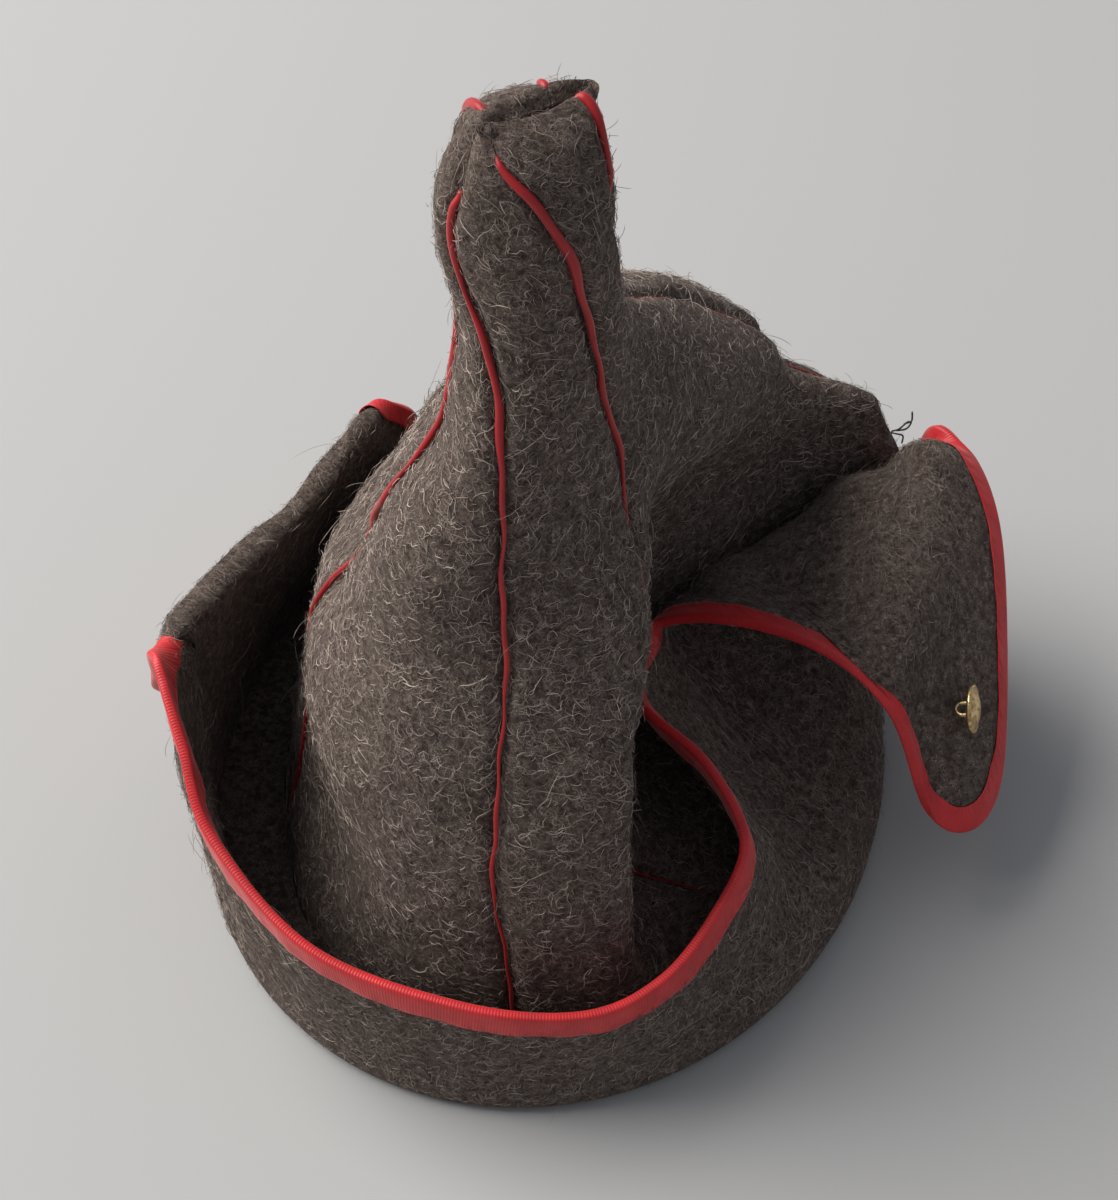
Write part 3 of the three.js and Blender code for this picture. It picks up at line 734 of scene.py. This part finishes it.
# The ribbon's section: distance from the edge, and how deep through the felt
RIBBON_SECTION = [
    (7.4, -0.25), (7.1, -0.42), (5.8, -0.56), (3.6, -0.58), (1.6, -0.58), (0.2, -0.52),
    (-0.3, -0.35), (-0.55, 0.05), (-0.6, 0.75), (-0.55, 1.45), (-0.3, 1.85), (0.2, 2.05),
    (1.6, 2.2), (3.6, 2.45), (5.8, 2.8), (7.1, 2.98), (7.4, 2.85), (7.3, 2.68), (3.6, 1.98),
    (0.05, 1.62), (-0.1, 0.75), (0.05, -0.04), (3.6, -0.06), (7.3, -0.06),
]
OUTER_ROWS, INNER_ROWS = -0.2, 2.04  # depths that part the two outer layers from the rest
SEWN_AT, STITCH, DENT = 5.8, 3.4, 0.3  # the sewn row, a stitch's length, and how deep it dents
# fold, spread, share: where the ribbon is drawn narrower
NARROWS = [(4.0, 1.3, 0.45), (8.7, 0.8, 0.45), (12.6, 0.3, 0.4), (30.4, 1.8, 0.34)]
# strong, span, phase: how unevenly the ribbon is pulled along its length
PULL_WAVES = [(0.5, 11.0, 0), (0.4, 4.3, 1), (0.5, 23.0, 2)]
PULL_WIDTH, PULL_HEIGHT = 0.07, 0.08  # what the pull does to its width, and to its height
PUCKER, PUCKER_SPAN, PUCKER_FROM = 0.11, 1.9, 3
PUCKER_DRIFT, DRIFT_SPAN = 0.8, 13  # the puckers crowd and spread along the ribbon
BINDING_ROWS = 1300
fold = np.linspace(0, LAST_FOLD, BINDING_ROWS)[:, None] + np.zeros(len(RIBBON_SECTION))
distance = np.zeros(fold.shape) + np.array([d for d, _ in RIBBON_SECTION])
deep = np.zeros(fold.shape) + np.array([d for _, d in RIBBON_SECTION])
edge_line = strip_point(fold[:, 0], fold[:, 0] * 0)
length = run_along(edge_line)
pull = ripple(length, PULL_WAVES)[:, None]
sewn = distance == SEWN_AT
distance = distance * (1 + PULL_WIDTH * pull)
for at, spread, share in NARROWS:
    distance = distance * (1 - share * np.exp(-((fold - at) / spread) ** 2) * (distance > 0))
drift = PUCKER_DRIFT * np.sin(length / DRIFT_SPAN)
pucker = PUCKER * np.sin(length / PUCKER_SPAN + drift)[:, None] * (distance > PUCKER_FROM)
dent = DENT * np.sin(length * math.pi / STITCH)[:, None] ** 8 * sewn
raised = (deep < OUTER_ROWS) * (-1.0) + (deep > INNER_ROWS) * 1.0
deep = deep + raised * (PULL_HEIGHT * pull + pucker - dent)
along = slope(lambda at: strip_point(at, distance), fold)
inward = slope(lambda at: strip_point(fold, at), distance)
ribbon_out = unit(np.cross(along, -inward))
points = strip_point(fold, distance) - ribbon_out * deep[..., None]
around = run_along(np.array(RIBBON_SECTION))
uv = np.stack([length[:, None] / 1000 + around * 0, around / 1000 + length[:, None] * 0], -1)
faces = closed_faces(BINDING_ROWS, len(RIBBON_SECTION))
binding = make_piece("satin_edge_binding", points, faces, satin, uv)
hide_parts("edge_binding")


# Round and threadlike things
TUBE_HINT = np.array([0.31, 0.53, 0.79])  # no line here runs along this direction
TUBE_TIP = 0.2  # a tube's radius at its ends, as a share


def tube(points, radius, sides):
    """Rings round a line of points, with the radius drawn in at both ends."""
    points = np.asarray(points, float)
    way = unit(np.gradient(points, axis=0))
    first = unit(np.cross(way, TUBE_HINT))
    second = np.cross(way, first)
    spin = np.arange(sides) / sides * math.tau
    ring = (first[:, None] * np.cos(spin)[None, :, None]
            + second[:, None] * np.sin(spin)[None, :, None])
    size = np.full(len(points), radius)
    size[[0, -1]] *= TUBE_TIP
    return points[:, None] + ring * size[:, None, None]


def joined(tubes):
    """The points and faces of several tubes as one mesh."""
    points, faces, count = [], [], 0
    for rings in tubes:
        rows, sides = rings.shape[:2]
        points.append(rings.reshape(-1, 3))
        faces.append(closed_faces(rows, sides) + count)
        count += rows * sides
    return np.concatenate(points), np.concatenate(faces)


def smooth_line(points, steps):
    """A smooth curve through points, with so many steps from each to the next."""
    points = np.asarray(points, float)
    return blend(points, np.linspace(0, len(points) - 1, (len(points) - 1) * steps + 1))


# The button: its disc faces the viewer's right, and its loop lies towards the lobe.
BUTTON_FOLD, BUTTON_PLACE, BUTTON_STAND = 28.3, 8.45, 4.9
BUTTON_TURN = 20  # degrees that the disc turns towards the viewer
BUTTON_SIDES, WIRE_SIDES, LOOP_STEPS = 48, 12, 32
LOOP_BEHIND, LOOP_RADIUS, WIRE_RADIUS = 1.5, 2.05, 0.55
# distance from the middle, and how far out
BUTTON_SECTION = [
    (0, 0.1), (3.4, 0.1), (3.8, 0.0), (5.7, 0.0), (6.1, 0.1), (6.35, 0.4), (6.4, 0.8), (6.3, 1.15),
    (6.0, 1.35), (5.6, 1.3), (5.3, 1.2), (4.9, 1.4), (4.0, 1.9), (3.0, 2.25), (2.0, 2.45),
    (1.0, 2.55), (0, 2.58),
]
spot = np.array([BUTTON_FOLD]), np.array([BUTTON_PLACE])
seat = (flap_point(*spot) - flap_normal(*spot) * (FELT + BUTTON_STAND))[0]
spin = np.arange(BUTTON_SIDES) / BUTTON_SIDES * math.tau
rings = np.array([[(up, out * math.cos(a), out * math.sin(a)) for a in spin]
                  for out, up in BUTTON_SECTION])
loop_angle = np.linspace(0, math.tau, LOOP_STEPS + 1)[:-1]
radial = np.stack([np.cos(loop_angle), np.sin(loop_angle), 0 * loop_angle], -1)
loop = LOOP_RADIUS * radial - (LOOP_BEHIND, 0, 0)
wire_spin = spin[::BUTTON_SIDES // WIRE_SIDES]
wire = (loop[:, None] + WIRE_RADIUS * (radial[:, None] * np.cos(wire_spin)[None, :, None]
                                       + np.array([0, 0, 1]) * np.sin(wire_spin)[None, :, None]))
points = np.concatenate([rings.reshape(-1, 3), wire.reshape(-1, 3)])
c, s = math.cos(math.radians(BUTTON_TURN)), math.sin(math.radians(BUTTON_TURN))
# The disc turns about the line that stands upright in the picture.
toward, upright = -np.array([0, GAZE[1], GAZE[2]]), np.array([0, -GAZE[2], GAZE[1]])
aside, near, high = points[:, 0], points @ toward, points @ upright
points = (np.outer(c * aside - s * near, (1, 0, 0)) + np.outer(s * aside + c * near, toward)
          + np.outer(high, upright) + seat)
wire_faces = ring_faces(LOOP_STEPS + 1, WIRE_SIDES) % (LOOP_STEPS * WIRE_SIDES)
faces = np.concatenate([ring_faces(len(rings), BUTTON_SIDES)[:, ::-1],
                        wire_faces + rings.size // 3])
button = make_piece("brass_shank_button", points, faces, brass)
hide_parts("brass_button")


# The black thread: the button's, and the tack of the right temple with its loose ends
THREAD_SIDES = 6
BUTTON_THREAD, BUTTON_LOOPS, BUTTON_STEPS = 0.2, 5, 8  # half thickness, loops, steps of a loop
TACK_THREAD, TACK_STEPS, TACK_SIZE = 0.26, 6, 0.8
felt_face = (flap_point(*spot) - flap_normal(*spot) * FELT)[0]
far = seat - (LOOP_BEHIND + LOOP_RADIUS, 0, 0)
stitches = []
for turn in range(BUTTON_LOOPS):
    shift = np.array([0.15, 0.35 * (turn - 2), 0.2 * (turn % 2)])
    above = felt_face + shift * 2 + (0.4, 0, 1.2)
    below = felt_face + shift * 2 + (-0.6, 0, -1.4)
    line = smooth_line([above, far + shift + (0.9, 0, 0.35), below], BUTTON_STEPS)
    stitches.append(tube(line, BUTTON_THREAD, THREAD_SIDES))
TACK = np.array([93.0, 50.0, 81.0])
TACK_ENDS = [
    [(0, 0, 0), (1, -2, 2.5), (3.5, -1, 4.5), (5, 1.5, 2.5), (3, 2.5, 0.5)],
    [(0, 0, 0), (1.5, -1, 1), (4, 0, 1), (5.5, 1.5, 3), (5.5, 3, 6)],
    [(0, 0, 0), (-1.5, -2, 1), (-2, -4.5, -1.5), (0, -6, -3)],
    [(-2, -1, 0), (0, -3, 1.2), (2.4, -2.5, -0.2), (2, -4.5, -2)],
]
for ends in TACK_ENDS:
    line = smooth_line(TACK + np.array(ends) * TACK_SIZE, TACK_STEPS)
    stitches.append(tube(line, TACK_THREAD, THREAD_SIDES))
points, faces = joined(stitches)
make_piece("black_sewing_thread", points, faces, black)


# The wool's fibres
FLOOR_CLEAR = 0.1  # how far every hair's line stays over the floor
FIBRE_LENGTH, FIBRE_LIFT = (2.2, 6.6), (0.12, 0.75)  # from the least to the most
FIBRE_FREE, FIBRE_RISE = 0.25, 2.2  # the share with a free end, and how much higher it rises
FIBRE_CURL, FIBRE_WAVE = 2.6, 0.7  # how much it bends one way, and to and fro
FIBRE_OFF = 0.05  # how far off the felt it lies
LEAST_CELL = 0.05  # keeps a stride finite where a grid's rows run together
FIBRE_HALF = (0.045, 0.09)  # half its width, from the least to the most
FIBRE_TAPER = np.array([0.45, 0.95, 1, 0.9, 0.3])  # its share of that, step by step
FIBRE_STEPS = len(FIBRE_TAPER) - 1
TONE_ROWS = (0.58, 0.8)  # between these shares of the rows the first tone turns into the last
STRAY_STEPS, STRAY_SIDES, STRAY_RADIUS = 6, 3, (0.045, 0.07)
STRAY_SHORT, STRAY_LONG, SHORT_SHARE = (3, 8), (9, 15), 0.93  # how long, and the share of short
STRAY_STAND = (0.15, 0.6)  # how steeply they stand up, from the least to the most


def read_grid(grid, row, column):
    """Values of a grid at fractional rows and columns."""
    row = np.clip(row, 0, grid.shape[0] - 1.001)
    column = np.clip(column, 0, grid.shape[1] - 1.001)
    i, j = row.astype(int), column.astype(int)
    a, b = (row - i)[..., None], (column - j)[..., None]
    return ((grid[i, j] * (1 - b) + grid[i, j + 1] * b) * (1 - a)
            + (grid[i + 1, j] * (1 - b) + grid[i + 1, j + 1] * b) * a)


def sow(grid, count):
    """Random places on a grid, evenly over its area."""
    area = cell_areas(grid).ravel()
    cell = rng.choice(area.size, count, p=area / area.sum())
    i, j = np.divmod(cell, grid.shape[1] - 1)
    return i + rng.random(count), j + rng.random(count)


def fibres(name, grid, normals, count, tones):
    """Curly strips that lie on a surface, some with one end free. Tones are the brightness of
    those of the first rows and of the last."""
    steps = FIBRE_STEPS
    row, column = sow(grid, count)
    shade = tones[0] + (tones[1] - tones[0]) * smoothstep(row / len(grid), *TONE_ROWS)
    by_row = np.linalg.norm(np.gradient(grid, axis=0), axis=-1)[..., None]
    by_column = np.linalg.norm(np.gradient(grid, axis=1), axis=-1)[..., None]
    length = rng.uniform(*FIBRE_LENGTH, count)
    heading = rng.uniform(0, math.tau, count)
    curl = rng.normal(0, 1.0, count) * FIBRE_CURL
    wave = rng.normal(0, FIBRE_WAVE, count)
    height = rng.uniform(*FIBRE_LIFT, count)
    is_free = rng.random(count) < FIBRE_FREE
    line, way_out = [], []
    for step in range(steps + 1):
        t = step / steps
        surface = read_grid(grid, row, column)
        normal = unit(read_grid(normals, row, column))
        arch = np.where(is_free, t**1.5 * FIBRE_RISE, np.sin(math.pi * (0.12 + 0.76 * t)))
        line.append(surface + normal * (FIBRE_OFF + height * arch)[:, None])
        way_out.append(normal)
        angle = heading + curl * t + wave * math.sin(math.tau * t)
        stride = length / steps
        tall = np.maximum(read_grid(by_row, row, column)[:, 0], LEAST_CELL)
        row = row + stride * np.cos(angle) / tall
        wide = np.maximum(read_grid(by_column, row, column)[:, 0], LEAST_CELL)
        column = column + stride * np.sin(angle) / wide
    line, way_out = np.stack(line, 1), np.stack(way_out, 1)
    way = unit(np.gradient(line, axis=1))
    roll = rng.uniform(-1.0, 1.0, count)[:, None, None]
    flat = unit(np.cross(way, way_out))
    aside = flat * np.cos(roll) + way_out * np.sin(roll)
    half = rng.uniform(*FIBRE_HALF, count)[:, None, None] * FIBRE_TAPER[None, :, None]
    points = np.stack([line - aside * half, line + aside * half], 2)
    points[..., 2] = np.maximum(points[..., 2], FLOOR_CLEAR)
    start = np.arange(count)[:, None] * (2 * (steps + 1)) + 2 * np.arange(steps)
    faces = np.stack([start, start + 1, start + 3, start + 2], -1).reshape(-1, 4)
    tone = (rng.beta(1.5, 1.9, count) * shade)[:, None] + np.zeros(2 * (steps + 1))
    return make_piece(name, points, faces, fibre, tone=tone)


def strays(name, grid, normals, count):
    """Fine three-sided hairs that stand off the felt."""
    row, column = sow(grid, count)
    root = read_grid(grid, row, column)
    normal = unit(read_grid(normals, row, column))
    aside = unit(np.cross(normal, rng.normal(size=(count, 3))))
    tubes = []
    for i in range(count):
        reach = STRAY_SHORT if rng.random() < SHORT_SHARE else STRAY_LONG
        size = rng.uniform(*reach)
        bend = unit(np.cross(normal[i], aside[i])) * rng.normal(0, 0.5)
        t = np.linspace(0, 1, STRAY_STEPS)[:, None]
        stand = rng.uniform(*STRAY_STAND)
        line = root[i] + size * (normal[i] * stand * t * (1.4 - 0.7 * t) + aside[i] * t * 0.85
                                 + bend * t**2)
        tubes.append(tube(line, rng.uniform(*STRAY_RADIUS), STRAY_SIDES))
    rings = np.stack(tubes)
    rings[..., 2] = np.maximum(rings[..., 2], FLOOR_CLEAR)
    shape = rings.shape
    one = ring_faces(shape[1], shape[2])
    faces = (one[None] + (np.arange(count) * shape[1] * shape[2])[:, None, None]).reshape(-1, 4)
    tone = rng.beta(1.6, 1.8, count)[:, None] + np.zeros(shape[1] * shape[2])
    return make_piece(name, rings, faces, fibre, tone=tone)


FIBRES, STRAYS = 0.39, 0.014  # how many there are on a square millimetre of the crown
CROWN_TONES = (1.0, 0.55)  # how bright the fibres are at the rim, and at the knob
FLAP_FIBRES, FLAP_STRAYS = 18000, 500  # how many there are on each face of the flap
# how bright the fibres are on the flap's outer and inner faces: painted dimmer than the crown's as
# shade, and dimmest on the inner face, which looks into the dark pocket by the crown
OUTSIDE_TONE, INSIDE_SHADED_TONE = 0.72, 0.42
# each gore's area, in square millimetres, sets how many fibres and stray hairs it gets
for name, (grid, normals) in gores.items():
    area = cell_areas(grid).sum()
    wool = fibres(f"wool_fibres_{name}", grid, normals, int(area * FIBRES), CROWN_TONES)
    hairs = strays(f"stray_hairs_{name}", grid, normals, int(area * STRAYS))
woolly = slice(10, -4)  # the flap's columns between its foot and its ribbon
outside, inside, flap_out = outside[:, woolly], inside[:, woolly], flap_out[:, woolly]
flap_wool = [
    fibres("wool_fibres_flap_outside", outside, flap_out, FLAP_FIBRES, (OUTSIDE_TONE,) * 2),
    fibres("wool_fibres_flap_inside", inside, -flap_out, FLAP_FIBRES, (INSIDE_SHADED_TONE,) * 2),
    strays("stray_hairs_flap", inside, -flap_out, FLAP_STRAYS),
    strays("stray_hairs_flap_outside", outside, flap_out, FLAP_STRAYS),
]


# The floor
FLOOR_HALF, FLOOR_BELOW = 4, 0.0002  # in metres
floor_mesh = bpy.data.meshes.new("floor")
floor_mesh.from_pydata([(x * FLOOR_HALF, y * FLOOR_HALF, -FLOOR_BELOW)
                        for x, y in ((-1, -1), (1, -1), (1, 1), (-1, 1))], [], [(0, 1, 2, 3)])
floor_mesh.materials.append(floor_material())
floor = bpy.data.objects.new("floor", floor_mesh)
bpy.context.scene.collection.objects.link(floor)
